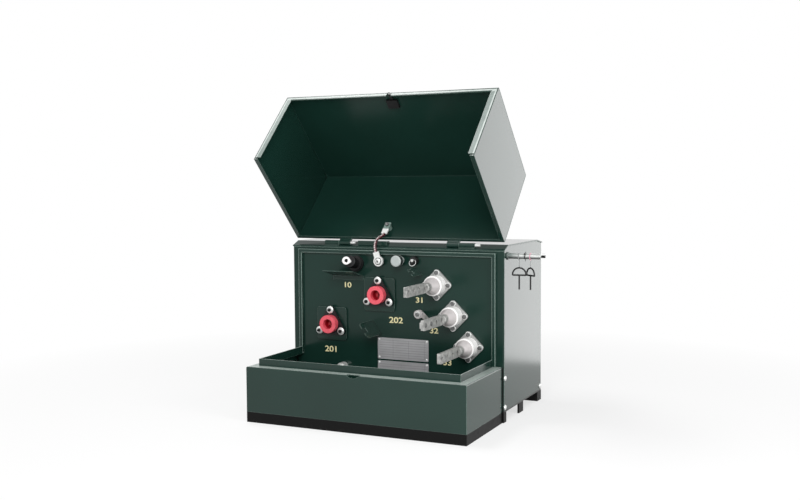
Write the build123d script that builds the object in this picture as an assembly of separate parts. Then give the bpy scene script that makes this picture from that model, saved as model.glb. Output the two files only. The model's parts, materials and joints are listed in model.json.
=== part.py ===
from build123d import *
import math
import os

# Low-profile single-phase pad-mounted transformer with its front hood swung open.
# Millimetres, +Z up, +X to the viewer's right, -Y towards the viewer.
# The origin is on the ground under the middle of the tank's front rail; the drawing below is
# made with the front face of the tank at Y = 0 and moved to that origin when it is written.

# Tank
tank_width = 832.0
tank_depth = 428.0
tank_height = 610.0
front_edge_drop = 16.0
rear_edge_drop = 11.0
front_bevel_depth = 40.0
rear_bevel_depth = 64.0
base_height = 36.0
plate_thickness = 6.0
cover_thickness = 4.0
cover_overhang = 2.5
wall_fillet = 5.0
front_fillet = 4.0

# Cable sill in front of the tank
sill_width = 816.0
sill_depth = 334.0
ledge_height = 193.0
ledge_width = 32.0
rim_height = 25.0
sheet = 3.0
sill_bend = 4.0
rail_width = 40.0
frame_bar_width = 13.0
frame_bar_depth = 11.0
frame_drop = 28.0

# Feet under the tank
front_foot_depth = 27.0
rear_foot_depth = 45.0
middle_foot_depth = 48.0
middle_foot_set_back = 163.0
middle_foot_thickness = 6.0

# Hood
hinge_set_back = 10.0
hinge_above_edge = 13.0
open_angle = 135.0
hood_set_off = 8.0
hood_clearance = 6.0
hood_rise = 3.5
hood_bend = 2.0
hood_lip = 20.0
hood_rear_lip = 12.0
hood_top_lip = 14.0

# Hinges
knuckle_diameter = 16.0
pin_diameter = 9.0
pin_clearance = 0.3
knuckle_gap = 0.5
knuckle_length = 58.0
arm_length = 46.0
arm_thickness = 7.0
leaf_length = 30.0
leaf_thickness = 4.0
pin_end = 18.0
left_hinge_x = -252.0
right_hinge_x = 277.0
stop_x = -93.0
stop_length = 116.0
stop_height = 7.5
stop_set_back = 6.0

# High-voltage bushing wells; heights are shares of the window between ledge and frame
well_a_x = -249.0
well_b_x = -54.0
well_a_height_share = 0.303
well_b_height_share = 0.596
pad_side = 120.0
pad_thickness = 8.0
pad_corner = 10.0
well_flange_diameter = 78.0
well_flange_thickness = 5.0
well_diameter = 65.0
well_length = 34.0
well_mouth_diameter = 37.0
well_floor_diameter = 30.0
well_depth = 31.0
well_mouth_length = 14.0
well_stud_diameter = 9.5
well_stud_length = 14.0
clamp_circle_radius = 51.0
clamp_lobe_diameter = 28.0
clamp_foot_diameter = 20.0
clamp_thickness = 7.0
clamp_clearance = 0.5
clamp_angles = (90.0, 210.0, 330.0)

# Low-voltage bushings; heights are shares of the same window
bushing_1_x = 169.0
bushing_2_x = 230.0
bushing_3_x = 287.0
bushing_height_shares = (0.704, 0.432, 0.162)
flange_side = 82.0
flange_thickness = 8.0
flange_corner = 11.0
flange_turn = 45.0
insulator_diameter = 70.0
insulator_length = 40.0
insulator_round = 3.0
body_diameter = 60.0
body_shoulder = 5.0
body_length = 38.0
stud_diameter = 32.0
stud_length = 24.0
stud_round = 4.0
blade_height = 34.0
blade_thickness = 12.0
blade_hole_pitch = 44.45
blade_hole_diameter = 14.3
blade_hole_count = 4
blade_end_margin = 13.0
blade_neck = 10.0
blade_round = 3.0

# Neutral earth link
link_height = 20.0
link_thickness = 4.0
link_boss_diameter = 30.0
link_boss_length = 12.0
link_boss_x = 100.0
link_end_overlap = 78.0
link_hole_count = 2

# Fuse holder and drip shield
fuse_x = -147.0
fuse_drop = 77.0
fuse_tilt = 14.0
fuse_seat_diameter = 56.0
fuse_seat_edge = 3.0
fuse_flange_diameter = 52.0
fuse_flange_thickness = 7.0
fuse_barrel_diameter = 36.0
fuse_barrel_length = 22.0
fuse_cap_diameter = 43.0
fuse_cap_length = 20.0
fuse_round = 3.0
fuse_stub_diameter = 14.0
fuse_stub_length = 6.0
fuse_eye_outer = 28.0
fuse_eye_inner = 14.0
fuse_eye_thickness = 8.0
fuse_eye_sink = 4.0
fuse_eye_turn = -50.0
shield_middle_x = -182.0
shield_width = 124.0
shield_reach = 83.0
shield_rise = 22.0
shield_drop = 121.0
shield_tab = 16.0
shield_sheet = 2.5

# Parking stands for the cable elbows: upper end of the edge on the wall, its run across and fall, reach
large_stand_x = -84.0
large_stand_height_share = 0.352
large_stand_across = 36.0
large_stand_fall = 49.0
large_stand_reach = 114.0
large_stand_slot = 18.0
large_stand_corner = 14.0
small_stand_x = 88.0
small_stand_drop = 86.0
small_stand_across = 24.0
small_stand_fall = 24.0
small_stand_reach = 80.0
small_stand_slot = 12.0
small_stand_corner = 8.0
stand_sheet = 3.0
stand_slot_depth = 26.0

# Plates riveted to the front
plate_centre_x = 35.0
nameplate_width = 199.0
nameplate_height = 77.0
nameplate_top_share = 0.195
lower_plate_height = 64.0
plate_gap = 6.0
plate_sheet = 2.0
plate_corner = 4.0

# Tank fittings
plug_x = 29.0
fitting_drop = 61.0
plug_neck_diameter = 26.0
plug_neck_length = 22.0
plug_cap_diameter = 40.0
plug_cap_length = 26.0
plug_round = 5.0
relief_x = 84.0
relief_diameter = 30.0
relief_length = 16.0
relief_tip_diameter = 15.0
relief_tip_length = 12.0
drain_x = -204.0
drain_z = 153.0
drain_diameter = 34.0
drain_length = 26.0
drain_tip_diameter = 20.0
drain_tip_length = 16.0

# Earth strap between tank and hood; the bow is given as offsets from the tank lug and hinge line
earth_x = -51.0
earth_drop = 65.0
earth_boss_diameter = 36.0
earth_boss_length = 18.0
earth_lug_width = 22.0
earth_lug_length = 34.0
earth_lug_thickness = 5.0
strap_diameter = 10.0
strap_gap = 0.2
strap_end_run = 11.5
strap_bow = ((-1.5, -9.5, 18.0), (-12.0, -19.0, 6.5), (-15.0, -27.0, -6.0))
earth_lug_tilt = 16.0
hood_lug_offset = 5.0
hood_lug_set_in = 13.0
hood_lug_length = 52.0
hood_boss_length = 16.5
hood_boss_diameter = 24.0
strap_radius_share = 0.45

# Lifting pin on the right side and the locking pins that hang from it
lift_y = 41.0
lift_drop = 38.0
lift_diameter = 19.0
lift_length = 118.0
lift_tip_diameter = 9.0
lift_tip_length = 15.0
lift_collar_diameter = 27.0
lift_collar_length = 4.0
eye_places = (41.0, 81.0)
eye_turns = (8.0, -38.0)
eye_tie_ring_diameter = 25.0
eye_tie_wire = 2.2
eye_tie_length = 28.0
eye_tie_clearance = 0.2
eye_loop_width = 46.0
eye_loop_height = 25.0
eye_wire = 5.5
eye_stem_length = 49.0

# Lock: a dished recess in the sill's front edge and a latch with a tongue inside the hood
lock_x = 6.0
recess_width = 48.0
recess_fall = 10.0
recess_depth = 14.0
tongue_width = 11.0
tongue_thickness = 4.0
tongue_below_ledge = 2.0
tongue_clearance = 3.0
latch_width = 42.0
latch_depth = 10.0
latch_set_in = 28.0
latch_height = 36.0

overrun = 5.0
edge_tolerance = 0.01

half_tank = tank_width / 2
half_body = half_tank - cover_overhang
half_sill = sill_width / 2
front_edge_height = tank_height - front_edge_drop
rear_edge_height = tank_height - rear_edge_drop
footprint_shift = -front_foot_depth / 2
frame_top = tank_height - frame_drop
window_height = frame_top - ledge_height


def prism_x(points, x_low, x_high):
    """Solid made by drawing points given as (y, z) and pulling them from x_low to x_high."""
    face = make_face(Polyline(*[(x_low, y, z) for y, z in points], close=True))
    return extrude(face, amount=x_high - x_low, dir=(1, 0, 0))


def prism_z(points, z_low, z_high):
    """Solid made by drawing points given as (x, y) and pulling them from z_low to z_high."""
    face = make_face(Polyline(*[(x, y, z_low) for x, y in points], close=True))
    return extrude(face, amount=z_high - z_low, dir=(0, 0, 1))


def block(x, y, z):
    """Box between the pairs of limits x, y and z."""
    size = Box(x[1] - x[0], y[1] - y[0], z[1] - z[0])
    return Pos((x[0] + x[1]) / 2, (y[0] + y[1]) / 2, (z[0] + z[1]) / 2) * size


def round_out(x, z, diameter, y_near, y_far):
    """Round bar standing out of the front plate from y_far to y_near."""
    bar = Cylinder(diameter / 2, y_far - y_near)
    return Pos(x, (y_near + y_far) / 2, z) * Rot(90, 0, 0) * bar


def turned_out(x, z, outline):
    """Turned piece standing out of the front plate; outline is (radius, distance out)."""
    face = make_face(Polyline(*[(radius, 0, out) for radius, out in outline], close=True))
    return Pos(x, 0, z) * Rot(90, 0, 0) * revolve(face, Axis.Z)


def rounded_plate(x, z, width, height, corner, y_near, y_far, turn=0):
    """Flat plate with rounded corners, lying against the front from y_far out to y_near."""
    outline = RectangleRounded(width, height, corner)
    slab = extrude(Rot(0, 0, turn) * outline, amount=y_far - y_near)
    return Pos(x, y_far, z) * Rot(90, 0, 0) * slab


nodes = {}

# Tank: a welded box with a bent cover that stands out a little, and a thicker front plate.
bevel_slope = front_edge_drop / front_bevel_depth
rear_slope = rear_edge_drop / rear_bevel_depth
roof = [
    (0, front_edge_height),
    (front_bevel_depth, tank_height),
    (tank_depth - rear_bevel_depth, tank_height),
    (tank_depth, rear_edge_height),
]
under_roof = [(y, z - cover_thickness) for y, z in roof]
nodes["tank_cover"] = prism_x(roof + under_roof[::-1], -half_tank, half_tank)
front_top = front_edge_height - cover_thickness
plate_back_top = front_top + bevel_slope * plate_thickness
front_profile = [(0, base_height), (0, front_top)]
front_profile += [(plate_thickness, plate_back_top), (plate_thickness, base_height)]
front_plate = prism_x(front_profile, -half_body, half_body)
front_corners = front_plate.edges().filter_by(Axis.Z).group_by(Axis.Y)[0]
nodes["tank_front_plate"] = fillet(front_corners, front_fillet)
body_rear = tank_depth - cover_overhang
body_rear_top = rear_edge_height - cover_thickness + rear_slope * cover_overhang
body_profile = [(plate_thickness, base_height), (plate_thickness, plate_back_top)] + under_roof[1:3]
body_profile += [(body_rear, body_rear_top), (body_rear, base_height)]
body = prism_x(body_profile, -half_body, half_body)
rear_corners = body.edges().filter_by(Axis.Z).group_by(Axis.Y)[-1]
nodes["tank_body"] = fillet(rear_corners, wall_fillet)

# Feet: a rail under the front, a rail under the rear and a plate foot under each side.
front_foot = (0, front_foot_depth)
rear_foot = (body_rear - rear_foot_depth, body_rear)
middle_foot = (middle_foot_set_back, middle_foot_set_back + middle_foot_depth)
full_width = (-half_body, half_body)
nodes["front_base_rail"] = block(full_width, front_foot, (0, base_height))
nodes["rear_base_rail"] = block(full_width, rear_foot, (0, base_height))
left_foot = block((-half_body, middle_foot_thickness - half_body), middle_foot, (0, base_height))
right_foot = block((half_body - middle_foot_thickness, half_body), middle_foot, (0, base_height))
nodes["middle_feet"] = Compound([left_foot, right_foot])


def sill_ring(outer_set_in, inner_set_in, z_low, z_high):
    """Three-sided band of the sill between two distances in from its outer faces."""
    outer_x = half_sill - outer_set_in
    inner_x = half_sill - inner_set_in
    outer = block((-outer_x, outer_x), (outer_set_in - sill_depth, 0), (z_low, z_high))
    inner_y = (inner_set_in - sill_depth, overrun)
    return outer - block((-inner_x, inner_x), inner_y, (z_low - overrun, z_high + overrun))


# Sill: face, ledge and upstand rim folded from sheet, mitred at the two front corners.
rim_inset = ledge_width
rim_top = ledge_height + rim_height
sill_face = sill_ring(0, sheet, base_height, ledge_height)
sill_ledge = sill_ring(0, rim_inset + sheet, ledge_height - sheet, ledge_height)
sill_rim = sill_ring(rim_inset, rim_inset + sheet, ledge_height - sheet, rim_top)
rim_stop = block((-half_sill, half_sill), (-frame_bar_depth, overrun), (ledge_height, rim_top + overrun))
sill = sill_face + sill_ledge + sill_rim - rim_stop



def edges_at(edges, axis, place):
    """Those of the edges that lie square to an axis at one place along it."""
    return edges.filter_by_position(axis, place - edge_tolerance, place + edge_tolerance)


top_edges = edges_at(sill.edges(), Axis.Z, ledge_height)
bend_edges = edges_at(top_edges, Axis.Y, -sill_depth)
bend_edges += edges_at(top_edges, Axis.X, half_sill)
bend_edges += edges_at(top_edges, Axis.X, -half_sill)
sill = fillet(bend_edges, sill_bend)
recess_radius = ((recess_width / 2) ** 2 + recess_fall**2) / (2 * recess_fall)
recess = Cylinder(recess_radius, recess_depth + overrun, align=(Align.CENTER, Align.CENTER, Align.MAX))
recess_middle = ledge_height + recess_radius - recess_fall
sill -= Pos(lock_x, -sill_depth - overrun, recess_middle) * Rot(90, 0, 0) * recess
rails = sill_ring(0, rail_width, 0, base_height)
front_corner = [(half_sill, -sill_depth), (half_sill - rail_width, rail_width - sill_depth)]
front_plan = [(-x, y) for x, y in front_corner] + front_corner[::-1]
side_plan = front_corner + [(half_sill - rail_width, 0), (half_sill, 0)]
left_plan = [(-x, y) for x, y in side_plan]
for plan_name, plan in (("front", front_plan), ("right_side", side_plan), ("left_side", left_plan)):
    sector = prism_z(plan, 0, rim_top)
    nodes["sill_" + plan_name] = sill & sector
    nodes["sill_" + plan_name + "_rail"] = rails & sector

# Frame bars welded to the front plate; with the sill rim they make the edge that the hood covers.
frame_outer = half_sill - rim_inset + frame_bar_width - sheet
frame_inner = frame_outer - frame_bar_width
frame = block((-frame_outer, frame_outer), (-frame_bar_depth, 0), (ledge_height, frame_top))
frame_hole = block((-frame_inner, frame_inner), (-frame_bar_depth - overrun, overrun),
                   (ledge_height - overrun, frame_top - frame_bar_width))
nodes["opening_rim"] = frame - frame_hole

hinge_y = hinge_set_back
hinge_z = front_edge_height + hinge_above_edge
hinge_line = Axis((0, hinge_y, hinge_z), (1, 0, 0))


def opened(solid):
    """Piece of the hood, drawn shut, swung up and back to the open pose."""
    return solid.rotate(hinge_line, -open_angle)


# Hood, drawn shut: one sheet folded from the rear flange over the top and down the front to a
# lip, and a side welded into each end of the fold with its own lips turned in.
hood_top = hinge_z + hood_rise
hood_bottom = ledge_height + hood_clearance
hood_back = -hood_set_off
hood_front = -sill_depth
flange_end = hood_top - hood_top_lip
outside = [(hood_back, flange_end), (hood_back, hood_top), (hood_front, hood_top)]
outside += [(hood_front, hood_bottom), (hood_front + hood_lip, hood_bottom)]
inside = [(hood_back - sheet, flange_end), (hood_back - sheet, hood_top - sheet)]
inside += [(hood_front + sheet, hood_top - sheet)]
inside += [(hood_front + sheet, hood_bottom + sheet), (hood_front + hood_lip, hood_bottom + sheet)]
outer_line = FilletPolyline(*outside, radius=hood_bend + sheet)
inner_line = FilletPolyline(*inside, radius=hood_bend)
sheet_ends = [Line(outer_line @ 0, inner_line @ 0), Line(outer_line @ 1, inner_line @ 1)]
fold_section = make_face(outer_line.edges() + inner_line.edges() + sheet_ends)
rear_foot_point = (hood_back, hood_bottom)
side_edges = [Line(outer_line @ 1, rear_foot_point), Line(rear_foot_point, outer_line @ 0)]
side_section = make_face(outer_line.edges() + side_edges)


def across(section, x):
    """Solid of a hood section, drawn in Y and Z, pulled between the pair of limits x."""
    return Pos(x[0], 0, 0) * extrude(Plane.YZ * section, amount=x[1] - x[0], dir=(1, 0, 0))


fold = across(fold_section, (-half_sill, half_sill))
tongue_gap = tongue_width / 2 + tongue_clearance
lip_cut_y = (hood_front + sheet, hood_front + hood_lip + overrun)
lip_cut = block((lock_x - tongue_gap, lock_x + tongue_gap), lip_cut_y,
                (hood_bottom - overrun, hood_bottom + sheet + overrun))
nodes["hood_fold"] = opened(fold - lip_cut)
inner_x = half_sill - sheet
low_lip_y = (hood_front + hood_lip, -frame_bar_depth - hood_clearance)
for side_name, side in (("right", 1), ("left", -1)):
    skin = across(side_section, sorted((side * inner_x, side * half_sill))) - fold
    low_lip_x = sorted((side * (inner_x - hood_lip), side * half_sill))
    low_lip = block(low_lip_x, low_lip_y, (hood_bottom, hood_bottom + sheet))
    rear_lip_x = sorted((side * (inner_x - hood_rear_lip), side * half_sill))
    rear_lip = block(rear_lip_x, (hood_back - sheet, hood_back), (hood_bottom, flange_end))
    nodes["hood_" + side_name + "_side"] = opened(skin + low_lip + rear_lip)

# Hinges: a knuckle welded to the tank, a knuckle with an arm on the hood, and a pin through both.
knuckle_radius = knuckle_diameter / 2
bevel_angle = math.degrees(math.atan(bevel_slope))


def cross_bar(diameter, x):
    """Round bar along X on the hinge line between the pair of limits x."""
    bar = Cylinder(diameter / 2, x[1] - x[0])
    return Pos((x[0] + x[1]) / 2, hinge_y, hinge_z) * Rot(0, 90, 0) * bar


tank_knuckles = []
hood_knuckles = []
pins = []
for hinge_x, arm_side in ((left_hinge_x, 1), (right_hinge_x, -1)):
    tank_x = (hinge_x - knuckle_length / 2, hinge_x + knuckle_length / 2)
    near = tank_x[1] if arm_side > 0 else tank_x[0]
    arm_x = tuple(sorted((near + arm_side * knuckle_gap, near + arm_side * (knuckle_gap + arm_length))))
    whole_x = (min(tank_x[0], arm_x[0]), max(tank_x[1], arm_x[1]) + pin_end)
    pin_hole = cross_bar(pin_diameter + 2 * pin_clearance, (whole_x[0] - overrun, whole_x[1] + overrun))
    leaf = Box(knuckle_length, leaf_length, leaf_thickness, align=(Align.CENTER, Align.MIN, Align.MIN))
    leaf = Pos(hinge_x, 0, front_edge_height) * Rot(bevel_angle, 0, 0) * leaf
    tank_knuckles.append(cross_bar(knuckle_diameter, tank_x) + leaf - pin_hole)
    arm_z = (hood_top - sheet - arm_thickness, hood_top - sheet)
    arm = block(arm_x, (hood_back, hinge_y), arm_z)
    hood_knuckles.append(opened(cross_bar(knuckle_diameter, arm_x) + arm - pin_hole))
    pins.append(cross_bar(pin_diameter, whole_x))
stop_front = hinge_y + stop_set_back
stop_top = hinge_z + stop_height
stop_profile = [
    (stop_front, front_edge_height + bevel_slope * stop_front),
    (front_bevel_depth, tank_height),
    (front_bevel_depth, stop_top),
    (stop_front, stop_top),
]
nodes["hood_stop"] = prism_x(stop_profile, stop_x - stop_length / 2, stop_x + stop_length / 2)
nodes["tank_hinge_knuckles"] = Compound(tank_knuckles)
nodes["hood_hinge_knuckles"] = Compound(hood_knuckles)
nodes["hinge_pins"] = Compound(pins)

# High-voltage bushing wells, each on a square pad and held by a three-lobed clamp on short feet.
well_outline = [
    (well_stud_diameter / 2, pad_thickness + well_length - well_depth),
    (well_floor_diameter / 2, pad_thickness + well_length - well_depth),
    (well_mouth_diameter / 2, pad_thickness + well_length - well_mouth_length),
    (well_mouth_diameter / 2, pad_thickness + well_length),
    (well_diameter / 2, pad_thickness + well_length),
    (well_diameter / 2, pad_thickness + well_flange_thickness),
    (well_flange_diameter / 2, pad_thickness + well_flange_thickness),
    (well_flange_diameter / 2, pad_thickness),
    (0, pad_thickness),
    (0, pad_thickness + well_length - well_depth + well_stud_length),
    (well_stud_diameter / 2, pad_thickness + well_length - well_depth + well_stud_length),
]
lobe_places = []
for angle in clamp_angles:
    spoke = math.radians(angle)
    lobe_places.append(Pos(clamp_circle_radius * math.cos(spoke), clamp_circle_radius * math.sin(spoke), 0))
lobes = [place * Circle(clamp_lobe_diameter / 2) for place in lobe_places]
clamp_outline = make_hull([lobe.edge() for lobe in lobes])
clamp_outline -= Circle(well_diameter / 2 + clamp_clearance)
clamp = Pos(0, 0, pad_thickness + well_flange_thickness) * extrude(clamp_outline, amount=clamp_thickness)
for place in lobe_places:
    foot = extrude(place * Circle(clamp_foot_diameter / 2), amount=well_flange_thickness)
    clamp += Pos(0, 0, pad_thickness) * foot
pads = []
clamps = []
wells = {"a": (well_a_x, well_a_height_share), "b": (well_b_x, well_b_height_share)}
for well_name, (well_x, height_share) in wells.items():
    well_z = ledge_height + height_share * window_height
    pads.append(rounded_plate(well_x, well_z, pad_side, pad_side, pad_corner, -pad_thickness, 0))
    nodes["hv_well_" + well_name] = turned_out(well_x, well_z, well_outline)
    clamps.append(Pos(well_x, 0, well_z) * Rot(90, 0, 0) * clamp)
nodes["hv_pads"] = Compound(pads)
nodes["hv_clamps"] = Compound(clamps)

# Low-voltage bushings: square flange set on its corner, insulator, and a terminal with an in-line spade.
bushing_places = []
for bush_x, height_share in zip((bushing_1_x, bushing_2_x, bushing_3_x), bushing_height_shares):
    bushing_places.append((bush_x, ledge_height + height_share * window_height))
flanges = []
insulators = []
insulator_end = flange_thickness + insulator_length
body_end = insulator_end + body_length
blade_start = body_end + stud_length - blade_neck
blade_length = 2 * blade_end_margin + (blade_hole_count - 1) * blade_hole_pitch
blade_tip = blade_start + blade_neck + blade_length
first_hole_out = blade_tip - blade_end_margin
for number, (bush_x, bush_z) in enumerate(bushing_places, 1):
    flanges.append(rounded_plate(bush_x, bush_z, flange_side, flange_side, flange_corner,
                                 -flange_thickness, 0, flange_turn))
    ring = round_out(bush_x, bush_z, insulator_diameter, -insulator_end, -flange_thickness)
    outer_edge = ring.edges().group_by(Axis.Y)[0]
    insulators.append(fillet(outer_edge, insulator_round))
    terminal_outline = [
        (0, insulator_end),
        (body_diameter / 2, insulator_end),
        (body_diameter / 2, insulator_end + body_shoulder),
        (stud_diameter / 2, body_end),
        (stud_diameter / 2, body_end + stud_length),
        (0, body_end + stud_length),
    ]
    terminal = turned_out(bush_x, bush_z, terminal_outline)
    terminal = fillet(terminal.edges().filter_by(GeomType.CIRCLE).group_by(Axis.Y)[0], stud_round)
    blade_x = (bush_x - blade_thickness / 2, bush_x + blade_thickness / 2)
    blade = block(blade_x, (-blade_tip, -blade_start), (bush_z - blade_height / 2, bush_z + blade_height / 2))
    terminal += fillet(blade.edges().filter_by(Axis.X).group_by(Axis.Y)[0], blade_round)
    for hole in range(blade_hole_count):
        hole_y = hole * blade_hole_pitch - first_hole_out
        drill = Cylinder(blade_hole_diameter / 2, blade_thickness + 2 * overrun)
        terminal -= Pos(bush_x, hole_y, bush_z) * Rot(0, 90, 0) * drill
    nodes["lv_terminal_" + str(number)] = terminal
nodes["lv_flanges"] = Compound(flanges)
nodes["lv_insulators"] = Compound(insulators)

# Neutral link: a bent strap from a boss on the front plate to the end of the middle spade.
middle_x, middle_z = bushing_places[1]
strap_face = middle_x - blade_thickness / 2
boss_y = -link_boss_length
boss_edge = link_boss_x + link_boss_diameter / 2
spade_near = link_end_overlap - blade_tip
link_plan = [
    (link_boss_x, boss_y),
    (boss_edge + link_thickness, boss_y),
    (strap_face, spade_near),
    (strap_face, -blade_tip),
    (strap_face - link_thickness, -blade_tip),
    (strap_face - link_thickness, spade_near),
    (boss_edge, boss_y - link_thickness),
    (link_boss_x, boss_y - link_thickness),
]
link_z = (middle_z - link_height / 2, middle_z + link_height / 2)
link = prism_z(link_plan, *link_z)
link += round_out(link_boss_x, middle_z, link_boss_diameter, boss_y - link_thickness, 0)
link_hole = Cylinder(blade_hole_diameter / 2, 2 * blade_thickness)
for hole in range(link_hole_count):
    link -= Pos(strap_face, hole * blade_hole_pitch - first_hole_out, middle_z) * Rot(0, 90, 0) * link_hole
nodes["neutral_link"] = link

# Fuse holder: a wedge seat that tips it up, flange, barrel and cap, then a pull eye on a stub.
fuse_z = tank_height - fuse_drop
half_seat = fuse_seat_diameter / 2
seat_foot = fuse_seat_edge + fuse_seat_diameter * math.tan(math.radians(fuse_tilt))
seat = [(0, fuse_z - half_seat), (0, fuse_z + half_seat)]
seat += [(-fuse_seat_edge, fuse_z + half_seat), (-seat_foot, fuse_z - half_seat)]
fuse = prism_x(seat, fuse_x - half_seat, fuse_x + half_seat)
fuse &= round_out(fuse_x, fuse_z, fuse_seat_diameter, -seat_foot, 0)
seat_middle = (fuse_seat_edge + seat_foot) / 2
fuse_line = Pos(fuse_x, -seat_middle, fuse_z) * Rot(90 - fuse_tilt, 0, 0)


def on_fuse(diameter, start, end):
    """Round piece on the fuse holder's own axis between two distances from its seat."""
    bar = Cylinder(diameter / 2, end - start, align=(Align.CENTER, Align.CENTER, Align.MIN))
    return Pos(0, 0, start) * bar


fuse_barrel_end = fuse_flange_thickness + fuse_barrel_length
fuse_end = fuse_barrel_end + fuse_cap_length
fuse += fuse_line * on_fuse(fuse_flange_diameter, 0, fuse_flange_thickness)
fuse += fuse_line * on_fuse(fuse_barrel_diameter, fuse_flange_thickness, fuse_barrel_end)
cap = on_fuse(fuse_cap_diameter, fuse_barrel_end, fuse_end)
fuse += fuse_line * fillet(cap.edges().filter_by(GeomType.CIRCLE), fuse_round)
nodes["fuse_holder"] = fuse
eye_hole = Cylinder(fuse_eye_inner / 2, fuse_eye_thickness + overrun)
eye = Cylinder(fuse_eye_outer / 2, fuse_eye_thickness) - eye_hole
eye_turn_angle = math.radians(fuse_eye_turn)
eye_reach = fuse_eye_outer / 2 - fuse_eye_sink
eye_out = fuse_end + fuse_stub_length + eye_reach * math.cos(eye_turn_angle)
eye_line = Pos(eye_reach * math.sin(eye_turn_angle), 0, eye_out) * Rot(0, fuse_eye_turn, 0) * Rot(0, 90, 0)
stub = on_fuse(fuse_stub_diameter, fuse_end, fuse_end + fuse_stub_length) - eye_line * eye_hole
nodes["fuse_pull_eye"] = fuse_line * (stub + eye_line * eye)

# Drip shield: a bent sheet beside and below the fuse holder that rises away from the wall.
shield_z = tank_height - shield_drop
shield_x = (shield_middle_x - shield_width / 2, shield_middle_x + shield_width / 2)
shield_profile = [
    (0, shield_z - shield_tab),
    (0, shield_z),
    (-shield_reach, shield_z + shield_rise),
    (-shield_reach, shield_z + shield_rise - shield_sheet),
    (-shield_sheet, shield_z - shield_sheet),
    (-shield_sheet, shield_z - shield_tab),
]
nodes["fuse_drip_shield"] = prism_x(shield_profile, *shield_x)

# Parking stands: slanted plates that stand out of the front plate, slotted at the outer edge.
def parking_stand(top_x, top_z, run, fall, reach, slot, corner):
    """Plate whose edge on the wall falls from (top_x, top_z) over a run to the right."""
    outline = Pos(0, reach / 2) * Rectangle(math.hypot(run, fall), reach)
    outline = fillet(outline.vertices().group_by(Axis.Y)[-1], corner)
    outline -= Pos(0, reach) * Rectangle(slot, 2 * stand_slot_depth)
    stand = Rot(180, 0, 0) * extrude(outline, amount=stand_sheet / 2, both=True)
    slant = math.degrees(math.atan2(fall, run))
    return Pos(top_x + run / 2, 0, top_z - fall / 2) * Rot(0, slant, 0) * stand


large_stand_z = ledge_height + large_stand_height_share * window_height
large_stand = parking_stand(large_stand_x, large_stand_z, large_stand_across, large_stand_fall,
                            large_stand_reach, large_stand_slot, large_stand_corner)
small_stand_z = tank_height - small_stand_drop
small_stand = parking_stand(small_stand_x, small_stand_z, small_stand_across, small_stand_fall,
                            small_stand_reach, small_stand_slot, small_stand_corner)
nodes["parking_stands"] = Compound([large_stand, small_stand])

# Plates riveted to the front plate below the bushings.
nameplate_top = ledge_height + nameplate_top_share * window_height
nameplate_z = nameplate_top - nameplate_height / 2
nodes["nameplate"] = rounded_plate(plate_centre_x, nameplate_z, nameplate_width, nameplate_height,
                                   plate_corner, -plate_sheet, 0)
lower_z = nameplate_top - nameplate_height - plate_gap - lower_plate_height / 2
nodes["lower_plate"] = rounded_plate(plate_centre_x, lower_z, nameplate_width, lower_plate_height,
                                     plate_corner, -plate_sheet, 0)

# Tank fittings: fill plug, pressure relief valve and drain valve.
fitting_z = tank_height - fitting_drop
plug = round_out(plug_x, fitting_z, plug_neck_diameter, -plug_neck_length, 0)
plug_end = plug_neck_length + plug_cap_length
plug_cap = round_out(plug_x, fitting_z, plug_cap_diameter, -plug_end, -plug_neck_length)
nodes["fill_plug"] = plug + fillet(plug_cap.edges().group_by(Axis.Y)[0], plug_round)
relief = round_out(relief_x, fitting_z, relief_diameter, -relief_length, 0)
nodes["relief_valve"] = relief + round_out(relief_x, fitting_z, relief_tip_diameter,
                                           -relief_length - relief_tip_length, -relief_length)
drain = round_out(drain_x, drain_z, drain_diameter, -drain_length, 0)
nodes["drain_valve"] = drain + round_out(drain_x, drain_z, drain_tip_diameter,
                                         -drain_length - drain_tip_length, -drain_length)

# Earth strap: a lug on the front plate, a lug under the hood's top panel, and a braid between them.
earth_z = tank_height - earth_drop
lug_y = -earth_boss_length - earth_lug_thickness
lug_place = Pos(earth_x, 0, earth_z) * Rot(0, -earth_lug_tilt, 0)
lug = round_out(earth_x, earth_z, earth_boss_diameter, lug_y, 0)
half_lug = earth_lug_width / 2
lug += lug_place * block((-half_lug, half_lug), (lug_y, -earth_boss_length), (0, earth_lug_length))
nodes["earth_lug_tank"] = lug
hood_lug_x = earth_x + hood_lug_offset
under_top = hood_top - sheet
lug_x = (hood_lug_x - half_lug, hood_lug_x + half_lug)
hood_lug_near = hood_back - hood_lug_set_in
hood_lug_low = under_top - hood_boss_length - earth_lug_thickness
hood_lug = block(lug_x, (hood_lug_near - hood_lug_length, hood_lug_near),
                 (hood_lug_low, hood_lug_low + earth_lug_thickness))
boss_middle = hood_lug_near - hood_lug_length + hood_boss_diameter / 2
hood_boss = Cylinder(hood_boss_diameter / 2, hood_boss_length, align=(Align.CENTER, Align.CENTER, Align.MAX))
hood_lug += Pos(hood_lug_x, boss_middle, under_top) * hood_boss
nodes["earth_lug_hood"] = opened(hood_lug)

# The braid's route: straight out of the hood lug, a bow past the hinge line, straight into the tank lug.
hood_lug_middle = hood_lug_low + earth_lug_thickness / 2
hood_swing = Pos(0, hinge_y, hinge_z) * Rot(-open_angle, 0, 0) * Pos(0, -hinge_y, -hinge_z)
lug_middle_y = lug_y + earth_lug_thickness / 2
runs = (strap_gap, strap_gap + strap_end_run)
route = [(hood_swing * Pos(hood_lug_x, hood_lug_near + run, hood_lug_middle)).position for run in runs]
route += [Vector(earth_x + x, hinge_y + y, hinge_z + z) for x, y, z in strap_bow]
route += [(lug_place * Pos(0, lug_middle_y, earth_lug_length + run)).position for run in runs[::-1]]
strap_radii = []
for before, corner, after in zip(route, route[1:], route[2:]):
    turn = (corner - before).get_angle(after - corner)
    shorter_run = min((corner - before).length, (after - corner).length)
    strap_radii.append(strap_radius_share * shorter_run / math.tan(math.radians(turn / 2)))
print("earth strap radii, mm:", [round(radius) for radius in strap_radii])
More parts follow.
